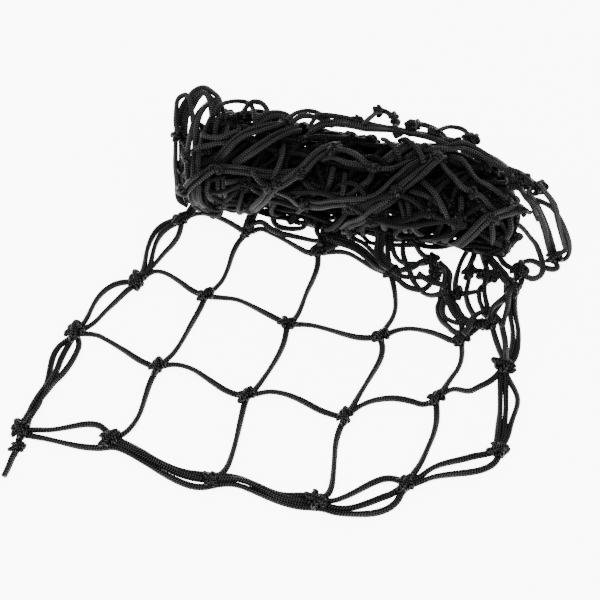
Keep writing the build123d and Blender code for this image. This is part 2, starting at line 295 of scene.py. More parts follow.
# ---- tubes -------------------------------------------------------------------------------------
class TubeMesh:
    """Collects tubes of cord and makes one mesh object of them."""

    def __init__(self):
        self.points, self.quads, self.caps, self.maps, self.cap_maps = [], [], [], [], []
        self.count = 0

    def add(self, line, radius, sides, relief=0.0):
        """A closed tube along line, with a low relief of crossing strands if asked for."""
        along = np.concatenate([[0], np.cumsum(np.linalg.norm(np.diff(line, axis=0), axis=1))])
        side, up = tube_frames(line)
        angle = np.arange(sides) * tau / sides
        turns = along[:, None] / (BRAID_PITCH * MM)
        wave = np.cos(4 * angle + tau * turns / 2) * np.cos(4 * angle - tau * turns / 2)
        lean = along[:, None] / (FLAT_TWIST * MM) + self.count % 7
        flat = FLATNESS * np.cos(2 * (angle - lean))
        reach = radius * (1 + flat + relief * wave)[..., None]
        rings = line[:, None] + reach * (np.cos(angle)[None, :, None] * side[:, None]
                                         + np.sin(angle)[None, :, None] * up[:, None])
        tips = np.stack([line[0] - (line[1] - line[0]) * 0.3,
                         line[-1] + (line[-1] - line[-2]) * 0.3])
        self.points += [rings.reshape(-1, 3), tips]
        count = len(line)
        ring, edge = np.meshgrid(np.arange(count - 1), np.arange(sides), indexing="ij")
        after = (edge + 1) % sides
        quads = np.stack([ring * sides + edge, ring * sides + after,
                          (ring + 1) * sides + after, (ring + 1) * sides + edge], axis=-1)
        self.quads.append(quads.reshape(-1, 4) + self.count)
        low, high = turns[:-1], turns[1:]
        u0, u1 = edge / sides, (edge + 1) / sides
        low, high = np.broadcast_to(low, u0.shape), np.broadcast_to(high, u0.shape)
        maps = np.stack([np.stack([u0, low], -1), np.stack([u1, low], -1),
                         np.stack([u1, high], -1), np.stack([u0, high], -1)], axis=2)
        self.maps.append(maps.reshape(-1, 2))
        base = self.count + count * sides
        last = self.count + (count - 1) * sides
        for j in range(sides):
            k = (j + 1) % sides
            self.caps += [(self.count + k, self.count + j, base), (last + j, last + k, base + 1)]
            self.cap_maps += [(0, 0), (0.05, 0), (0.02, 0.05)] * 2
        self.count = base + 2

    def add_copy(self, shape, matrix):
        """Adds a copy of another TubeMesh, moved by a 4 x 4 matrix."""
        for points in shape.points:
            self.points.append(points @ matrix[:3, :3].T + matrix[:3, 3])
        self.quads += [quads + self.count for quads in shape.quads]
        self.caps += [tuple(corner + self.count for corner in cap) for cap in shape.caps]
        self.maps += shape.maps
        self.cap_maps += shape.cap_maps
        self.count += shape.count

    def mesh(self, name, material):
        """The mesh, smooth-shaded, with its braid map."""
        quads, caps = np.concatenate(self.quads), np.array(self.caps, int).reshape(-1, 3)
        data = bpy.data.meshes.new(name)
        points = np.concatenate(self.points)
        data.vertices.add(len(points))
        data.vertices.foreach_set("co", points.astype(np.float32).ravel())
        corners = np.concatenate([quads.ravel(), caps.ravel()])
        data.loops.add(len(corners))
        data.loops.foreach_set("vertex_index", corners.astype(np.int32))
        sizes = np.concatenate([np.full(len(quads), 4), np.full(len(caps), 3)])
        data.polygons.add(len(sizes))
        starts = np.concatenate([[0], np.cumsum(sizes)[:-1]])
        data.polygons.foreach_set("loop_start", starts.astype(np.int32))
        data.polygons.foreach_set("use_smooth", np.ones(len(sizes), bool))
        data.update(calc_edges=True)
        braid = data.uv_layers.new(name="braid")
        flat = np.concatenate([*self.maps, np.array(self.cap_maps, float).reshape(-1, 2)])
        braid.data.foreach_set("uv", flat.astype(np.float32).ravel())
        data.materials.append(material)
        data.validate()
        return data


def tube_frames(line):
    """Two directions square to the line at each point, carried along without twist."""
    tangent = np.gradient(line, axis=0)
    tangent /= np.linalg.norm(tangent, axis=1)[:, None]
    start = np.array([0.0, 0.0, 1.0]) if abs(tangent[0][2]) < 0.9 else np.array([1.0, 0.0, 0.0])
    up = np.empty_like(line)
    last = start
    for i, forward in enumerate(tangent):
        last = last - forward * (last @ forward)
        last = last / np.linalg.norm(last)
        up[i] = last
    return np.cross(tangent, up), up


def nurbs_line(route):
    """Points along the smooth NURBS spline that has the route's points as control points."""
    curve = bpy.data.curves.new("route", "CURVE")
    curve.dimensions = "3D"
    curve.resolution_u = 14
    spline = curve.splines.new("NURBS")
    spline.points.add(len(route) - 1)
    for control, point in zip(spline.points, route):
        control.co = (*point, 1)
    spline.order_u = 3
    spline.use_endpoint_u = True
    carrier = bpy.data.objects.new("route", curve)
    mesh = bpy.data.meshes.new_from_object(carrier)
    line = np.array([vertex.co for vertex in mesh.vertices], float)
    bpy.data.meshes.remove(mesh)
    bpy.data.curves.remove(curve)
    return line


def evenly(line, step):
    """The same line with points about one step apart."""
    along = np.concatenate([[0], np.cumsum(np.linalg.norm(np.diff(line, axis=0), axis=1))])
    at = np.linspace(0, along[-1], max(3, int(along[-1] / step) + 1))
    return np.stack([np.interp(at, along, line[:, k]) for k in range(3)], axis=1)


def add_piece(name, data):
    """A shown object of a mesh."""
    piece = bpy.data.objects.new(name, data)
    bpy.context.scene.collection.objects.link(piece)
    return piece


def attach(piece, bodies):
    """Rides on one body; a piece that spans two bodies only has its transform baked into its mesh.
    """
    if len(bodies) == 1:
        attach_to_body(piece, bodies[0])
        return
    if TAIL in bodies:
        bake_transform(piece)
        return
    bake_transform(piece)


def add_cord(name, route, bodies, slot, nodes):
    """One cord of the laid-out rows, as a tube with braid relief."""
    line = evenly(nurbs_line([place(point) for point in route]), CORD_STEP * MM)
    tube = TubeMesh()
    tube.add(line, CORD_R * MM, 20, RELIEF)
    piece = add_piece(f"cord_{name}", tube.mesh(name, MATERIALS[slot]))
    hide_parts(*nodes)
    attach(piece, bodies)


for name, (bodies, slot, nodes) in CORDS.items():
    add_cord(name, ROUTES[name], bodies, slot, nodes)


# ---- knots -------------------------------------------------------------------------------------
KNOT_SIZES = {"mesh": (9.4, 7.4, 5.8), "border": (11.4, 9.2, 7.0)}
KNOT_TURNS = {"mesh": 1.5, "border": 1.8}


def knot_shape(kind, radius, sides, rings):
    """A tight knot: turns of cord wound round the cords that run through it, and one turn
    that is tucked across them. Both ends of the winding run into the middle of the knot. The
    radius is that of its cord."""
    shape = TubeMesh()
    half = np.array(KNOT_SIZES[kind]) / 2 - radius
    t = np.linspace(0, 1, rings)
    angle = t * tau * KNOT_TURNS[kind]
    taper = 0.35 + 0.65 * np.sqrt(np.abs(np.sin(pi * t)))
    wound = np.stack([half[0] * 0.85 * (2 * t - 1) + 0.4 * np.sin(angle),
                      half[1] * np.cos(angle) * taper, half[2] * 0.9 * np.sin(angle) * taper],
                     axis=1)
    shape.add(wound * MM, radius * MM, sides)
    angle = t * tau * 0.97 + 0.4
    tucked = np.stack([half[0] * np.cos(angle),
                       half[1] * np.cos(angle) * 0.75 + 0.6 * np.sin(2 * angle),
                       half[2] * 1.1 * np.sin(angle)], axis=1)
    shape.add(tucked * MM, radius * MM, sides)
    return shape


KNOT_SHAPES = {
    "mesh": knot_shape("mesh", 1.5, 16, 64),
    "border": knot_shape("border", 1.8, 16, 64),
}
KNOTS = {                     # plan position, heading in degrees, kind and body
    "corner_knot": ((-124, -73), 80, "border", CORNER),
    "stopper_knot": ((-124, -81.5), -10, "mesh", CORNER),
    "near_knot_1": ((-84, -77.5), 10, "border", NEAR),
    "near_knot_2": ((-38.5, -97), -80, "border", NEAR),
    "near_knot_3": ((6.5, -106.5), -60, "border", NEAR),
    "near_knot_4": ((45, -99), 15, "border", NEAR),
    "near_knot_5": ((86.5, -83), -25, "border", NEAR),
    "left_knot_1": ((-106.5, -21), 50, "border", NEAR),
    "mesh_knot_11": ((-66, -40), 45, "mesh", NEAR),
    "mesh_knot_12": ((-24.5, -55.5), 20, "mesh", NEAR),
    "mesh_knot_13": ((20, -66.5), 50, "mesh", NEAR),
    "mesh_knot_14": ((61.5, -57), 20, "mesh", NEAR),
    "right_knot_1": ((94, -39.5), -60, "border", ROLL),
    "left_knot_2": ((-80, 9.5), 70, "border", ROLL),
    "mesh_knot_21": ((-46, 1), 10, "mesh", ROLL),
    "mesh_knot_22": ((-6, -15.5), -30, "mesh", ROLL),
    "mesh_knot_23": ((38, -23), 10, "mesh", ROLL),
    "mesh_knot_24": ((76, -25), 20, "mesh", ROLL),
    "right_knot_2": ((103.5, 4.5), 60, "border", ROLL),
    "left_knot_3": ((-61.5, 49.5), 10, "border", ROLL),
    "mesh_knot_31": ((-27, 41), 20, "mesh", ROLL),
    "mesh_knot_32": ((9, 28), 0, "mesh", ROLL),
    "mesh_knot_33": ((45, 15), 10, "mesh", ROLL),
    "right_knot_3": ((108.5, 15.5), 40, "border", ROLL),
    "side_knot": ((127, 24), 0, "mesh", ROLL),
}

KNOT_SCALES = {               # the knots that are tied tighter than the others
    "near_knot_1": 0.9, "near_knot_2": 0.75, "near_knot_3": 0.9, "near_knot_4": 0.85,
    "near_knot_5": 0.85, "stopper_knot": 0.8, "corner_knot": 0.9, "left_knot_3": 0.85,
}


def turn_matrix(heading, centre, scale=1.0):
    """A 4 x 4 matrix that turns about the vertical, scales and then moves to a place in metres."""
    matrix = np.eye(4)
    matrix[:2, :2] = [[cos(heading), -sin(heading)], [sin(heading), cos(heading)]]
    matrix[:3, :3] *= scale
    matrix[:3, 3] = centre
    return matrix


def add_knot(name, spot, heading, kind, body):
    """One knot of the laid-out rows, which lies on the floor."""
    scale = KNOT_SCALES.get(name, 1.0)
    centre = place((*spot, KNOT_SIZES[kind][2] * scale / 2))
    tied = TubeMesh()
    tied.add_copy(KNOT_SHAPES[kind], turn_matrix(radians(heading), centre, scale))
    piece = add_piece(f"tied_{name}", tied.mesh(name, MATERIALS["knots"]))
    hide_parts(name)
    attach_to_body(piece, body)


for name, (spot, heading, kind, body) in KNOTS.items():
    add_knot(name, spot, heading, kind, body)


# ---- the roll: a real mesh, wound up and settled -------------------------------------------------
ROLL_ORIGIN = (2.0, 65.0)     # a point on the roll's axis in plan
ROLL_HEADING = radians(-13)   # direction of the axis
ROLL_SUNK = 1.0               # the roll's round outline would reach this far below the floor
ROLL_STATIONS = [             # plan centre, half width, half height, as in the part
    ((-67, 68), 13, 12), ((-60, 69), 26, 21), ((-46, 69.5), 32, 26), ((-22, 69), 33, 27.5),
    ((2, 65), 33, 27.5), ((26, 59), 33.5, 28), ((50, 53.5), 34, 27), ((75, 47), 33, 26.5),
    ((97, 40.5), 27, 22), ((113, 35), 19, 16), ((121, 32), 10, 9),
]
BODY_STATIONS = [             # place along the roll, centre across, half width, half height
    (-53, -7.5, 22, 20), (-50, -7, 27, 23), (-44, -5.5, 29, 24), (-24, -2.5, 29.5, 25),
    (-12, -4, 26.5, 24.5), (0, -5, 26, 24.5), (15, -7, 26, 25), (35, -9, 26, 25.5),
    (50, -9.5, 28, 25.5), (65, -6, 29.5, 25), (80, -4.5, 28, 24), (95, -4, 24, 20.5),
    (105, -4, 20, 17), (110, -4.5, 14, 12),
]
ROWS, COLUMNS = 48, 6         # rows of cells in the roll, and cords across it
PER_SIDE = 10                 # points of the simulation on one side of a cell
CLEAR = 3.0                   # points nearer than this push each other apart
LOWEST_CORDS = 12             # cords of the layer that lies flat on the floor
ROUNDS, QUICK_ROUNDS = 300, 24
SEARCH_EVERY = 8              # rounds between two searches for points that are near each other
OVERSHOOT = 1.4               # every correction is made this much larger, which settles sooner
SHORTEST_BEND = 0.985         # points two apart come no nearer than this share of their distance
SHORTEST_LONG_BEND = 0.93     # and points four apart no nearer than this share
EVEN_ROUNDS = 6               # rounds that even out kinks at the end
MEAN_RADIUS = 30.0            # of the roll; lifts are given as a share of it
ARC = 0.52                    # length of one degree round the roll
BESIDE = 2.6                  # gap between cords that run side by side
TUCK = 5.0                    # both ends of an outer cord go this far into the roll
LIFT_RANGE = (-8.0, 4.5)      # lowest lift of an outer cord, and most that crossing adds to it
LOOSE_LIFT = 5.0              # most that crossing adds to the height of a loose cord
LIFT_ROUNDS = 60
LIFT_SHARE = 0.45             # share of an overlap that each of two crossing cords gives way by
LIFT_EVEN = 0.25              # share by which the heights along a cord even out in one round
MOST_SUNK = 3.0               # the lower one of two crossing cords sinks by no more than this
OUTER_KNOT_SCALE = 0.8        # the knots on the roll are drawn tighter
KNOT_LOWEST = 6.5             # a knot in the roll that is turned at random clears the floor so

# Cords that lie on the outside of the roll: how many side by side, and stops along each one:
# place along the roll, angle round it in degrees (0 back, 90 top, 180 front), and lift in mm.
OUTER_CORDS = [
    (2, [(-46, 195), (-48, 178), (-49, 160), (-50, 145), (-51, 130), (-52, 115), (-53, 100),
         (-54, 85, 2), (-54, 72, 5), (-52, 62, 8), (-49, 62, 8), (-46, 70, 5), (-44, 85, 1)]),
    (1, [(-43, 195), (-44, 178), (-45, 160), (-46, 145), (-47, 130), (-48, 112), (-48, 95),
         (-47, 80, 2)]),
    (1, [(-46, 78, 1), (-42, 66, 3), (-37, 60, 4), (-32, 60, 4), (-28, 68, 2), (-25, 82)]),
    (1, [(-34, 76, 1), (-30, 66, 3), (-26, 64, 3), (-21, 70, 2), (-18, 82)]),
    (2, [(-24, 84), (-18, 78, 1), (-13, 76, 2), (-9, 80, 2), (-6, 92)]),
    (1, [(-43, 83), (-43, 92), (-42, 101)]),
    (1, [(-38, 82), (-37, 95), (-36, 108), (-36, 122)]),
    (1, [(-33, 84), (-31, 97), (-30, 110)]),
    (1, [(-49, 97), (-46, 104), (-40, 107), (-35, 104), (-31, 100)]),
    (1, [(-52, 116), (-45, 115), (-39, 112), (-34, 113)]),
    (1, [(-34, 148), (-33, 164), (-32, 180)]),
    (1, [(-37, 146), (-36, 161), (-35, 178)]),
    (1, [(-41, 150), (-41, 165), (-39, 185)]),
    (1, [(-32, 153), (-25, 154)]),
    (1, [(-21, 148), (-20, 158), (-15, 165), (-9, 162)]),
    (2, [(-39, 131), (-34, 118), (-29, 107), (-22, 100), (-14, 90), (-10, 80)]),
    (2, [(-30, 135), (-24, 125), (-18, 115), (-12, 104), (-7, 95), (-3, 86)]),
    (2, [(-38, 138), (-30, 139), (-23, 141), (-17, 142), (-10, 142), (-3, 140), (2, 137)]),
    (2, [(-52, 163), (-48, 153), (-43, 144), (-38, 136)]),
    (1, [(-55, 168), (-50, 150), (-44, 141)]),
    (1, [(-20, 139), (-15, 150), (-9, 157), (-1, 163), (3, 172), (6, 182)]),
    (1, [(-8, 108), (-7, 122), (-8, 136), (-10, 150)]),
    (2, [(-22, 205), (-19, 190), (-16, 178), (-12, 165), (-9, 153), (-5, 148), (0, 140), (5, 130),
         (8, 121), (11, 113), (15, 106), (19, 98)]),
    (1, [(12, 119), (17, 116), (24, 119), (30, 118), (37, 119)]),
    (1, [(5, 146), (9, 150), (15, 153), (22, 152), (28, 150), (32, 140), (36, 131), (37, 120)]),
    (1, [(14, 110), (22, 108), (30, 112), (37, 119)]),
    (1, [(18, 125), (18, 138), (17, 152)]),
    (1, [(24, 130), (25, 142), (25, 155)]),
    (2, [(8, 172), (14, 167), (20, 160), (27, 155), (37, 149), (42, 143), (46, 133), (48, 127),
         (51, 120), (54, 112), (58, 104), (61, 98), (65, 92), (70, 90)]),
    (1, [(26, 178), (31, 168), (35, 160), (40, 152), (44, 144), (48, 136)]),
    (1, [(37, 119), (43, 117), (48, 112), (52, 104), (56, 95)]),
    (1, [(52, 147), (55, 158), (56, 172), (57, 192)]),
    (1, [(54, 140), (57, 150), (59, 163), (62, 176), (65, 192)]),
    (1, [(46, 160), (46, 178), (47, 197)]),
    (1, [(56, 133), (62, 134), (67, 137), (71, 142), (73, 150)]),
    (1, [(60, 120), (64, 125), (68, 131), (72, 140), (75, 150), (77, 162)]),
    (1, [(66, 94), (70, 104), (75, 112), (80, 118), (86, 119), (90, 120), (95, 128), (99, 132)]),
    (1, [(71, 85), (78, 90), (85, 103), (93, 105), (101, 108)]),
    (1, [(86, 119), (89, 128), (93, 136), (97, 140)]),
    (1, [(96, 145), (98, 160), (99, 182)]),
    (1, [(104, 128), (106, 145), (105, 165)]),
    (1, [(80, 128), (81, 140), (79, 155), (80, 170)]),
    (2, [(24, 215), (27, 200), (30, 182), (35, 173), (40, 160), (43, 153), (47, 146), (51, 137)]),
    (2, [(50, 136), (55, 124), (59, 115), (62, 107), (65, 99), (68, 90)]),
    (2, [(80, 205), (83, 185), (87, 167), (91, 150), (94, 140), (97, 135), (100, 130), (104, 122),
         (109, 110), (113, 102)]),
    (2, [(-8, 86), (-4, 76, 2), (1, 71, 2.5), (7, 72, 2), (13, 74, 1)]),
    (3, [(2, 84), (8, 79, 1), (15, 77, 1), (24, 76, 1), (33, 75, 1), (42, 72, 1), (50, 71, 1),
         (60, 70, 1), (70, 72, 1), (80, 70, 1), (90, 66, 1), (100, 64, 1), (108, 66, 1)]),
    (2, [(56, 82), (62, 86), (70, 84), (78, 76), (88, 74), (98, 76), (106, 80), (114, 92, 1),
         (118, 100, 2)]),
    (2, [(51, 72), (50, 84), (46, 96), (42, 106)]),
    (1, [(38, 78), (41, 87), (45, 95), (49, 104)]),
    (1, [(60, 72), (58, 82), (55, 92), (51, 100)]),
    (1, [(46, 74), (52, 86), (57, 95), (60, 104)]),
    (1, [(28, 78, 2), (32, 60, 3), (33, 52, 6), (36, 52, 6), (40, 58, 4), (44, 66, 2)]),
    (1, [(50, 68, 2), (54, 56, 3), (60, 54, 2), (66, 58, 2), (70, 66, 1)]),
    (1, [(62, 68, 2), (68, 55, 4), (74, 52, 5), (79, 58, 3), (82, 66, 1)]),
]
OUTER_KNOTS = [               # place along the roll, angle round it, lift, and kind
    (-38, 134, 1, "mesh"), (-55, 158, 0, "border"), (37, 119, 2, "mesh"), (50, 136, 2, "border"),
    (4, 134, 1, "mesh"), (-13, 152, 1, "mesh"), (16, 104, 2, "mesh"), (97, 138, 1, "mesh"),
    (86, 119, 2, "mesh"), (-62, 118, 2, "mesh"), (44, 74, 2, "mesh"),
    (48, 70, 2, "border"), (60, 71, 2, "mesh"), (72, 71, 2, "mesh"), (34, 56, 6, "mesh"),
    (42, 62, 4, "mesh"), (53, 62, 4, "mesh"), (80, 62, 4, "border"), (24, 70, 2, "mesh"),
    (62, 96, 2, "mesh"), (110, 112, 1, "mesh"), (-8, 142, 2, "mesh"), (-23, 200, 1, "border"),
    (28, 196, 1, "border"),
]

# The laid-out cords that the loose cords beside the roll lie on.
UNDER_LOOSE = ("row_1", "row_2", "row_3", "column_3", "column_4", "right_a", "right_b", "right_c")
# Loose cords beside the roll: how many side by side, and stops in plan with their height.
LOOSE_CORDS = [
    # the loops that hang from the right of the roll
    (1, [(70.5, 9.5), (68, -1.5), (66.5, -5.5), (66.5, -10), (68, -14), (70.5, -17.5), (72, -20.5),
         (75, -23.5)]),
    (1, [(71.5, 12), (70, 2.5), (70, -1.5), (68.5, -7.5), (69, -12), (72, -14.5), (75.5, -16)]),
    (2, [(68.5, 21.5), (72.5, 14.5), (71.5, 6), (72, -1.5), (73.5, -6.5), (75.5, -12), (78, -14.5),
         (83, -16), (87.5, -17)]),
    (1, [(84.5, 30), (81, 23.5), (78.5, 17), (76.5, 9), (76, 0.5)]),
    (1, [(88, 30), (87, 25.5), (84, 18.5), (83.5, 12.5), (82, 6.5), (81, 2.5), (81.5, -5),
         (83, -12), (82, -16)]),
    (1, [(83.5, 14), (87, 15.5), (90.5, 15.5), (92.5, 11.5)]),
    (1, [(76, 0.5), (80.5, 1), (84.5, 3), (87.5, 4.5)]),
    (1, [(91, 30), (92, 23.5), (92.5, 16.5), (92.5, 11), (90, 6.5), (87.5, 3.5), (87, -1.5),
         (88, -6.5), (88.5, -10.5), (90.5, -12.5), (91.5, -18.5), (92.5, -25), (93.5, -32),
         (94, -38)]),
    (1, [(92, 11), (90, 6.5), (89.5, 1.5), (90, -4), (90.5, -10)]),
    (1, [(76.5, -24.5), (79, -21.5), (81, -16.5), (83.5, -13.5), (87, -11), (91, -10.5),
         (94, -12.5), (96, -15.5), (96.5, -21.5), (96.5, -26.5), (95.5, -34), (94.5, -39)]),
    (1, [(88.5, -19), (91.5, -10), (95, -5.5), (99, -1.5), (102, 2)]),
    (1, [(103, 4), (100.5, -1.5), (99.5, -7.5), (97.5, -13.5), (96, -18.5)]),
    (2, [(91.5, 30), (94.5, 24), (98, 18.5), (100.5, 12.5), (101, 8), (102.5, 5)]),
    (1, [(99, 30), (101, 22.5), (103.5, 18.5), (107.5, 15.5)]),
    (1, [(55, 40, 9), (57.5, 35, 4), (59, 30), (62, 25.5), (65, 24), (66, 20)]),
    (1, [(45, 41, 9), (45.5, 33, 5), (47.5, 25.5), (51, 22), (56, 21), (61, 20), (65.5, 20.5)]),
    (1, [(54, 43, 9), (52.5, 35, 5), (51.5, 27), (52.5, 20.5), (54.5, 15.5), (55.5, 11.5),
         (57.5, 7.5), (59.5, 4), (63, 0.5), (67, -0.5), (72, 0)]),
    (1, [(65.5, 19), (60, 19.5), (55.5, 16.5), (45.5, 15)]),
    (1, [(46, 13.5), (49, 9.5), (52.5, 6), (56.5, 4), (59.5, 3.5), (62.5, 6), (66.5, 13)]),
    (1, [(45.5, 14), (49.5, 11), (57.5, 11), (64, 11.5), (66.5, 14)]),
    (1, [(58, 12), (60.5, 9.5), (64.5, 6.5), (71, 3.5)]),
    # the edge of the net at the foot of the roll
    (2, [(-27, 41), (-25.5, 46, 3), (-23, 51, 8), (-20, 55, 14)]),
    (1, [(-27, 41), (-20, 45.5), (-14.5, 41.5), (-9.5, 39), (-5, 38.5), (1, 37.5), (8, 36),
         (14.5, 36.5)]),
    (3, [(9, 28), (11, 30), (15, 33), (19, 36.5), (24, 40), (31, 46, 4)]),
    (2, [(14, 35), (20.5, 33.5), (26, 32), (30.5, 29), (34, 24.5), (38.5, 18.5), (44, 15.5)]),
    (1, [(17, 38), (22, 37.5), (29, 35.5), (33.5, 32.5), (38, 26), (42, 20), (45, 15)]),
    (2, [(43, 43, 20), (41, 39, 18), (40, 36, 14), (40, 31.5, 8), (39.5, 25.5, 3), (41, 19),
         (44.5, 15)]),
    (1, [(-14.5, 57), (-14, 50.5), (-12, 46.5), (-8, 44.5), (-2.5, 44), (2, 45.5), (3.5, 53)]),
    (1, [(-11.5, 58), (-10.5, 53.5), (-7, 51.5), (-2.5, 48.5), (1.5, 46.5), (8, 46)]),
    (1, [(-18, 56), (-13.5, 50.5), (-8, 49.5), (-3.5, 47), (0, 45)]),
    (1, [(3.5, 56), (4, 46.5), (8, 45), (12.5, 46.5), (22, 47)]),
    (1, [(11, 54), (9, 43.5), (8.5, 39.5), (10, 35), (10, 29)]),
    (1, [(11, 48), (12, 45.5), (15.5, 42), (16.5, 37)]),
    # the cords over the right end
    (1, [(100, 47, 43), (102.5, 45.5, 46), (107, 44, 45), (112, 41.5, 42), (115, 38.5, 38)]),
    (1, [(102, 42, 40), (106, 42, 43), (110, 40.5, 42), (115, 38.5, 38)]),
    (2, [(101, 41, 38), (106, 39.5, 41), (110, 36, 35), (115, 35, 29), (121, 32, 17),
         (124.5, 29, 8), (127, 25, 3)]),
    (1, [(113, 38.5, 38), (117, 36.5, 36), (122.5, 34, 32), (126, 30.5, 23), (130.5, 27.5, 10),
         (132, 26, 3), (127, 24, 2.5)]),
    (1, [(103, 33, 22), (109.5, 31.5, 18), (114.5, 30, 11), (118, 28.5, 6), (120.5, 21.5, 1.5),
         (119.5, 14.5), (114.5, 10.5), (110, 12), (108.5, 15.5)]),
    # the loops over the left end
    (2, [(-58, 58, 5), (-61.5, 59, 7), (-61.5, 63, 16), (-62, 67.5, 24), (-61.5, 71.5, 32),
         (-61, 77, 38), (-59.5, 81.5, 43), (-58, 86, 47), (-55, 90, 50), (-51.5, 92.5, 53),
         (-48.5, 93, 54), (-45, 90, 54), (-41.5, 86.5, 52), (-39.5, 81, 49), (-37, 74, 43)]),
    (1, [(-57, 58, 8), (-59, 61, 12), (-59, 66, 22), (-58.5, 71, 31), (-57.5, 77, 39),
         (-56.5, 81.5, 45), (-53.5, 85, 50), (-50.5, 88.5, 52), (-47.5, 89, 53), (-45, 85, 52),
         (-44, 80.5, 48), (-43.5, 75, 43)]),
    (1, [(-57, 70, 30), (-60.5, 74, 38), (-62, 78.5, 42), (-62, 83.5, 45), (-61.5, 88.5, 48),
         (-59.5, 90.5, 50), (-57, 90.5, 50), (-55, 87.5, 49), (-54, 82.5, 46), (-53, 77, 41)]),
]
LOOSE_KNOTS = [               # plan position, about how high, and kind
    (115, 38.5, 38, "mesh"), (108, 41, 42, "mesh"), (-61, 68, 22, "mesh"), (-60.5, 75, 38, "mesh"),
    (83.5, 14, 5, "mesh"), (92.5, 11.5, 5, "border"), (88.5, -18, 5, "mesh"), (65.5, 19, 5, "mesh"),
    (66.5, 14, 5, "mesh"), (14.5, 36.5, 5, "mesh"), (3.5, 51.5, 5, "mesh"), (11, 48, 5, "mesh"),
    (17.5, 42, 5, "mesh"), (76, 0.5, 5, "mesh"),
]


def axis_frame():
    """Unit directions along and across the roll in plan."""
    along = np.array([cos(ROLL_HEADING), sin(ROLL_HEADING)])
    return along, np.array([-along[1], along[0]])


def roll_shape(reach):
    """Centre across, centre height, half width and half height at places along the roll."""
    along, across = axis_frame()
    table = []
    for centre, half_width, half_height in ROLL_STATIONS:
        offset = np.array(centre) - ROLL_ORIGIN
        table.append((offset @ along, offset @ across, half_height - ROLL_SUNK, half_width,
                      half_height))
    table = np.array(table)
    return [np.interp(reach, table[:, 0], table[:, k]) for k in range(1, 5)]


def roll_limits():
    """Both ends of the roll, along its axis."""
    along, _ = axis_frame()
    ends = [(np.array(centre) - ROLL_ORIGIN) @ along for centre, _, _ in ROLL_STATIONS]
    return ends[0], ends[-1]


def on_roll(reach, turn, depth=1.0):
    """A point at a place along the roll, an angle round it and a share of its radius."""
    across, height, half_width, half_height = roll_shape(reach)
    return np.stack([reach, across + np.cos(turn) * half_width * depth,
                     height + np.sin(turn) * half_height * depth], axis=-1)


def body_shape(reach):
    """The same for the wound body that the outer cords lie on."""
    table = np.array(BODY_STATIONS, float)
    across, half_width, half_height = [np.interp(reach, table[:, 0], table[:, k])
                                       for k in (1, 2, 3)]
    return across, half_height + 0.3, half_width, half_height


def roll_to_metres(points):
    """From the roll's own directions into the part's frame, in metres."""
    along, across = axis_frame()
    plan = np.array(ROLL_ORIGIN) + points[:, :1] * along + points[:, 1:2] * across
    return np.column_stack([plan + DATUM, points[:, 2]]) * MM


def three_wide(stops, default):
    """Stops as an array, with the last value filled in where it is left out."""
    return np.array([(*stop, default) if len(stop) == 2 else stop for stop in stops], float)


def cord_lines(cords, scale, default=0.0, tuck=0.0):
    """Lines through the stops of all cords, with extra ones side by side where asked for."""
    lines = []
    for strands, stops in cords:
        stops = three_wide(stops, default)
        stops[[0, -1], 2] -= tuck
        middle = smooth_chain(stops, 6)
        middle[:, 1] *= scale
        middle = evenly(middle, 1.5)
        forward = np.gradient(middle[:, :2], axis=0)
        forward /= np.linalg.norm(forward, axis=1)[:, None] + 1e-9
        for n in range(strands):
            beside = (n - (strands - 1) / 2) * BESIDE
            line = middle.copy()
            line[:, 0] -= forward[:, 1] * beside
            line[:, 1] += forward[:, 0] * beside
            line[:, 1] /= scale
            lines.append(line)
    return lines


def laid_over(lines, to_points, lowest, most):
    """Lifts every cord clear of the ones that it crosses, by most at most; later cords lie on
    top. The points' last value is the lift, and to_points turns them into real positions."""
    flat = np.concatenate(lines)
    owner = np.repeat(np.arange(len(lines)), [len(line) for line in lines])
    base = flat[:, 2].copy()
    inner = (owner[1:-1] == owner[:-2]) & (owner[1:-1] == owner[2:])
    middle = np.nonzero(inner)[0] + 1
    for _ in range(LIFT_ROUNDS):
        points = to_points(flat)
        pairs = close_pairs(points, CORD_D)
        i, j = pairs[owner[pairs[:, 0]] != owner[pairs[:, 1]]].T
        missing = LIFT_SHARE * (CORD_D - np.linalg.norm(points[i] - points[j], axis=1))
        move = np.zeros(len(flat))
        np.maximum.at(move, j, missing)
        sink = np.zeros(len(flat))
        np.maximum.at(sink, i, missing)
        flat[:, 2] += move - sink
        kink = flat[middle - 1, 2] + flat[middle + 1, 2] - 2 * flat[middle, 2]
        flat[middle, 2] += LIFT_EVEN * kink
        flat[:, 2] = np.clip(flat[:, 2], np.maximum(base - MOST_SUNK, lowest), base + most)
    points = to_points(flat)
    return [points[owner == k] for k in range(len(lines))]


def lifted_on_roll(flat):
    """Points on the roll from place, angle in degrees and lift."""
    return on_roll(flat[:, 0], np.radians(flat[:, 1]), 1 + (flat[:, 2] - 1) / MEAN_RADIUS)


def net_chains():
    """Point numbers along every cord of the net: columns, rows, and second border cords."""
    steps = ROWS * PER_SIDE
    inner = PER_SIDE - 1
    columns = [np.arange(c * (steps + 1), (c + 1) * (steps + 1)) for c in range(COLUMNS)]
    count = COLUMNS * (steps + 1)
    rows = []
    for r in range(ROWS + 1):
        chain = [columns[0][r * PER_SIDE]]
        for c in range(COLUMNS - 1):
            chain += list(range(count, count + inner)) + [columns[c + 1][r * PER_SIDE]]
            count += inner
        rows.append(np.array(chain))
    borders = []
    for c in (0, COLUMNS - 1):
        chain = [columns[c][0]]
        for r in range(ROWS):
            chain += list(range(count, count + inner)) + [columns[c][(r + 1) * PER_SIDE]]
            count += inner
        borders.append(np.array(chain))
    return columns, rows, borders, count


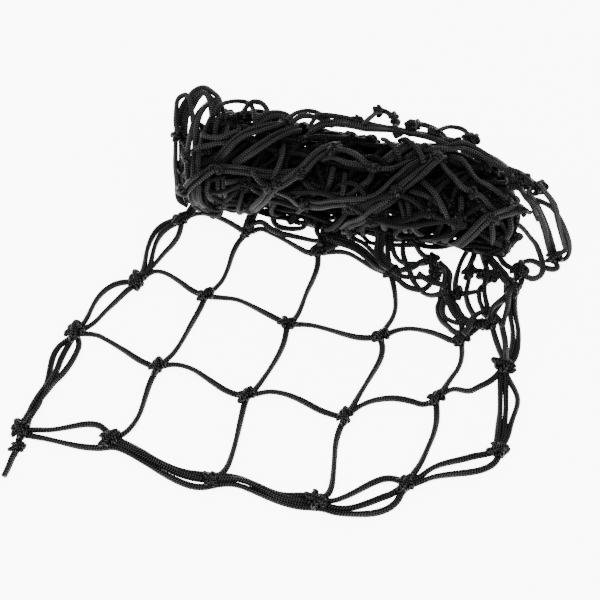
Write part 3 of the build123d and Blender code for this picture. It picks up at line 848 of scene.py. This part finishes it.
def wound_start(columns, rows, borders, count, random):
    """The net wound as a loose, uneven spiral, before it settles."""
    steps = ROWS * PER_SIDE
    low, high = roll_limits()
    share = np.arange(steps + 1) / steps
    depth = np.sqrt(1 - 0.95 * share)
    steps_round = SIDE / PER_SIDE / (MEAN_RADIUS * depth[1:])
    turn = radians(-110) + np.concatenate([[0], np.cumsum(steps_round)])
    knots = np.arange(ROWS + 1)

    def uneven(size):
        """A smooth random run along the net with one value for each point of a column."""
        return np.interp(share * ROWS, knots, random.normal(0, size, ROWS + 1))

    reach_all, turn_all, depth_all = np.zeros(count), np.zeros(count), np.zeros(count)
    for c, chain in enumerate(columns):
        middle = low + 5 + (high - low - 10) * c / (COLUMNS - 1)
        reach = middle + 16 * np.sin(turn + radians(45)) + 8 * np.sin(turn * 0.37 + c) + uneven(7)
        reach_all[chain] = np.clip(reach, low + 3, high - 3)
        turn_all[chain] = turn + uneven(0.28)
        depth_all[chain] = np.clip(depth + uneven(0.05), 0.08, 1)
    for chain in rows + borders:
        fixed = np.arange(0, len(chain), PER_SIDE)
        at = np.arange(len(chain))
        for values, size in ((reach_all, 6.0), (turn_all, 0.18), (depth_all, 0.06)):
            run = np.interp(at, fixed, values[chain[fixed]])
            bow = np.repeat(random.normal(0, size, len(fixed)), PER_SIDE)[:len(chain)]
            run += bow * np.sin(pi * at / PER_SIDE) ** 2
            loose = np.setdiff1d(at, fixed)
            values[chain[loose]] = run[loose]
    return on_roll(reach_all, turn_all, np.clip(depth_all, 0.05, 1))


def close_pairs(points, within):
    """Pairs of points nearer than a distance."""
    found = []
    compact = points.astype(np.float32)
    square = (compact ** 2).sum(1)
    at_once = 1000
    for start in range(0, len(points), at_once):
        part = compact[start:start + at_once]
        far = square[start:start + at_once, None] + square[None] - 2 * part @ compact.T
        i, j = np.nonzero(far < within ** 2)
        keep = i + start < j
        found.append(np.stack([i[keep] + start, j[keep]], axis=1))
    return np.concatenate(found)


def pull(points, pairs, rest, share, only="both"):
    """Moves pairs towards their rest distance, each point by the mean of its corrections."""
    i, j = pairs[:, 0], pairs[:, 1]
    gap = points[j] - points[i]
    length = np.maximum(np.linalg.norm(gap, axis=1), 1e-6)
    error = length - rest
    if only == "apart":
        error = np.minimum(error, 0)
    step = (0.5 * share * error / length)[:, None] * gap
    active = (error != 0).astype(float)
    count = np.bincount(i, active, len(points)) + np.bincount(j, active, len(points))
    for k in range(3):
        move = np.bincount(i, step[:, k], len(points)) - np.bincount(j, step[:, k], len(points))
        points[:, k] += move / np.maximum(count, 1) * OVERSHOOT


def hold_inside(points):
    """Keeps the points inside the wound body's shape and off the floor."""
    points[:, 0] = np.clip(points[:, 0], BODY_STATIONS[0][0], BODY_STATIONS[-1][0])
    across, height, half_width, half_height = body_shape(points[:, 0])
    y = (points[:, 1] - across) / half_width
    z = (points[:, 2] - height) / half_height
    over = np.maximum(np.hypot(y, z), 1.0)
    points[:, 1] = across + y / over * half_width
    points[:, 2] = height + z / over * half_height
    points[:, 2] = np.maximum(points[:, 2], CORD_Z)


def straighten(points, chains):
    """Moves each point a little towards the middle of its neighbours, which evens out kinks."""
    total, count = np.zeros_like(points), np.zeros(len(points))
    for chain in chains:
        total[chain[1:-1]] += (points[chain[:-2]] + points[chain[2:]]) / 2
        count[chain[1:-1]] += 1
    moved = count > 0
    points[moved] += 0.5 * (total[moved] / count[moved, None] - points[moved])


def settled_net(outer):
    """The wound net after its cords have found their length and their room under the outer
    cords, which stay where they are."""
    random = np.random.default_rng(11)
    columns, rows, borders, count = net_chains()
    points = wound_start(columns, rows, borders, count, random)
    chains = columns + rows + borders
    links = np.concatenate([np.stack([c[:-1], c[1:]], axis=1) for c in chains])
    bends = np.concatenate([np.stack([c[:-2], c[2:]], axis=1) for c in chains])
    long_bends = np.concatenate([np.stack([c[:-4], c[4:]], axis=1) for c in chains])
    rest = SIDE / PER_SIDE
    points = np.concatenate([points, outer])
    for turn in range(ROUNDS):
        pull(points, links, rest, 1.0)
        pull(points, bends, 2 * rest * SHORTEST_BEND, 0.9, only="apart")
        pull(points, long_bends, 4 * rest * SHORTEST_LONG_BEND, 0.8, only="apart")
        if turn % SEARCH_EVERY == 0:
            near = close_pairs(points, CLEAR + 2.5)
            near = near[near[:, 0] < count]
        pull(points, near, CLEAR, 1.0, only="apart")
        points[count:] = outer
        hold_inside(points[:count])
    for _ in range(EVEN_ROUNDS):
        straighten(points, chains)
        pull(points, links, rest, 0.6)
        hold_inside(points[:count])
    return points, columns, rows, borders


def lowest_layer(random):
    """The lowest cords of the roll: they lie along it, side by side on the floor."""
    reach = np.arange(BODY_STATIONS[0][0] + 3, BODY_STATIONS[-1][0], 6.0)
    across, _, half_width, _ = body_shape(reach)
    lines = []
    for share in np.linspace(-0.4, 0.8, LOWEST_CORDS):
        sway = random.normal(0, 1.5, len(reach))
        height = CORD_Z + 2.5 * random.random(len(reach))
        lines.append(np.column_stack([reach, across + share * half_width + sway, height]))
    return lines


def smooth_chain(points, parts):
    """A Catmull-Rom line through the points, in parts pieces between each two."""
    padded = np.concatenate([2 * points[:1] - points[1:2], points, 2 * points[-1:] - points[-2:-1]])
    a, b, c, d = padded[:-3], padded[1:-2], padded[2:-1], padded[3:]
    line = []
    for t in np.arange(parts) / parts:
        line.append(0.5 * (2 * b + (c - a) * t + (2 * a - 5 * b + 4 * c - d) * t ** 2
                           + (3 * b - a - 3 * c + d) * t ** 3))
    return np.concatenate([np.stack(line, axis=1).reshape(-1, 3), points[-1:]])


def nearest(points, spot):
    """The point nearest to a spot."""
    return points[np.argmin(np.linalg.norm(points - spot, axis=1))]


def random_turn(random):
    """A random rotation, as a 4 x 4 matrix."""
    q = random.normal(size=4)
    w, x, y, z = q / np.linalg.norm(q)
    matrix = np.eye(4)
    matrix[:3, :3] = [[1 - 2 * (y * y + z * z), 2 * (x * y - z * w), 2 * (x * z + y * w)],
                      [2 * (x * y + z * w), 1 - 2 * (x * x + z * z), 2 * (y * z - x * w)],
                      [2 * (x * z - y * w), 2 * (y * z + x * w), 1 - 2 * (x * x + y * y)]]
    return matrix


def turned_knot(knot, random, scale=1.0):
    """A matrix that turns a knot of the roll at random and moves it to its place."""
    reach, across, height = knot
    matrix = random_turn(random)
    matrix[:3, :3] *= scale
    matrix[:3, 3] = roll_to_metres(np.array([[reach, across, max(height, KNOT_LOWEST)]]))[0]
    return matrix


def cord_piece(name, lines, material, sides, relief=0.0):
    """One piece of the roll, of cords along lines in the roll's own directions."""
    tube = TubeMesh()
    for line in lines:
        tube.add(roll_to_metres(line), ROLLED_R * MM, sides, relief)
    return add_piece(name, tube.mesh(name, MATERIALS[material]))


def add_roll():
    """The rolled net: its cords, their knots, its lowest layer, and the cords outside."""
    outer = laid_over(cord_lines(OUTER_CORDS, ARC, tuck=TUCK), lifted_on_roll, *LIFT_RANGE)
    for line in outer:
        line[:, 2] = np.maximum(line[:, 2], CORD_Z)
    points, columns, rows, borders = settled_net(np.concatenate([line[::2] for line in outer]))
    random = np.random.default_rng(5)
    wound = {"rolled_columns": columns + borders, "rolled_rows": rows}
    # the wound cords, the lowest layer and the inner knots take the darker copy: painted shade
    # inside and under the roll
    made = [cord_piece(name, [smooth_chain(points[chain], 2) for chain in chains],
                       "rolled_painted_shade", 10) for name, chains in wound.items()]
    lowest = [smooth_chain(line, 4) for line in lowest_layer(random)]
    made.append(cord_piece("rolled_underside", lowest, "rolled_painted_shade", 10))
    outside = [smooth_chain(line, 2) for line in outer]
    made.append(cord_piece("rolled_outside", outside, "rolled_net", 14, RELIEF))

    coarse = {"mesh": knot_shape("mesh", 1.4, 6, 20), "border": knot_shape("border", 1.6, 6, 24)}
    inner, tied = TubeMesh(), TubeMesh()
    for c, chain in enumerate(columns):
        kind = "border" if c in (0, COLUMNS - 1) else "mesh"
        for knot in points[chain[::PER_SIDE]]:
            inner.add_copy(coarse[kind], turned_knot(knot, random))
    strands = np.concatenate(outer)
    for reach, angle, lift, kind in OUTER_KNOTS:
        spot = lifted_on_roll(np.array([[reach, angle, lift + 2]], float))[0]
        matrix = turned_knot(nearest(strands, spot), random, OUTER_KNOT_SCALE)
        tied.add_copy(KNOT_SHAPES[kind], matrix)
    for name, knots, material in (("rolled_knots", inner, "rolled_painted_shade"),
                                  ("rolled_outside_knots", tied, "knots")):
        made.append(add_piece(name, knots.mesh(name, MATERIALS[material])))
    for piece in made:
        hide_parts("rolled_net")
        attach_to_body(piece, ROLL)


add_roll()


def in_plan(flat):
    """Loose cords have their plan position and height already."""
    return flat.copy()


def plan_to_metres(points):
    """From plan positions and heights into the part's frame, in metres."""
    return (points + np.array([*DATUM, 0.0])) * MM


def add_loose_cords():
    """The loops beside the roll, lifted over the laid-out cords and over each other."""
    under = [np.array([place(point) for point in ROUTES[name]]) for name in UNDER_LOOSE]
    under = [evenly(nurbs_line(list(map(Vector, line))), 1.5 * MM) / MM - np.array([*DATUM, 0])
             for line in under]
    lines = laid_over(under + cord_lines(LOOSE_CORDS, 1.0, CORD_Z), in_plan, CORD_Z, LOOSE_LIFT)
    lines = lines[len(under):]
    tube = TubeMesh()
    for line in lines:
        tube.add(plan_to_metres(smooth_chain(line, 2)), CORD_R * MM, 14, RELIEF)
    cords = add_piece("draped_cords", tube.mesh("draped_cords", MATERIALS["rolled_net"]))
    random = np.random.default_rng(3)
    tied = TubeMesh()
    for x, y, z, kind in LOOSE_KNOTS:
        spot = nearest(np.concatenate(lines), (x, y, z))
        centre = place((spot[0], spot[1], max(spot[2], KNOT_SIZES[kind][2] / 2)))
        tied.add_copy(KNOT_SHAPES[kind], turn_matrix(random.uniform(0, tau), centre))
    knots = add_piece("draped_knots", tied.mesh("draped_knots", MATERIALS["knots"]))
    for piece in (cords, knots):
        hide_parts("draped_loops")
        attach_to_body(piece, ROLL)


add_loose_cords()


# ---- floor and light ----------------------------------------------------------------------------
def add_stage():
    """A plain pale floor and soft studio light from above."""
    floor_mesh = bpy.data.meshes.new("floor")
    reach = 6.0
    floor_mesh.from_pydata([(-reach, -reach, 0), (reach, -reach, 0), (reach, reach, 0),
                            (-reach, reach, 0)], [], [(0, 1, 2, 3)])
    floor = bpy.data.objects.new("floor", floor_mesh)
    bpy.context.scene.collection.objects.link(floor)
    paper = bpy.data.materials.new("floor")
    paper.use_nodes = True
    shader = paper.node_tree.nodes["Principled BSDF"]
    shader.inputs["Base Color"].default_value = (0.94, 0.94, 0.94, 1)
    shader.inputs["Roughness"].default_value = 0.9
    shader.inputs["Emission Color"].default_value = (1, 1, 1, 1)
    shader.inputs["Emission Strength"].default_value = 8.0
    floor_mesh.materials.append(paper)

    world = bpy.data.worlds.new("studio")
    world.use_nodes = True
    world.node_tree.nodes["Background"].inputs[0].default_value = (1, 1, 1, 1)
    world.node_tree.nodes["Background"].inputs[1].default_value = 1.0
    bpy.context.scene.world = world
    for name, place_at, size, energy in (("key", (-0.5, -0.3, 1.0), 0.7, 12),
                                         ("fill", (0.7, -0.6, 0.8), 0.9, 6),
                                         ("back", (0.1, 0.9, 0.8), 0.8, 8)):
        lamp = bpy.data.lights.new(name, "AREA")
        lamp.size = size
        lamp.energy = energy
        light = bpy.data.objects.new(name, lamp)
        light.location = place_at
        light.rotation_mode = "QUATERNION"
        light.rotation_quaternion = (-Vector(place_at)).to_track_quat("-Z", "Y")
        bpy.context.scene.collection.objects.link(light)


add_stage()
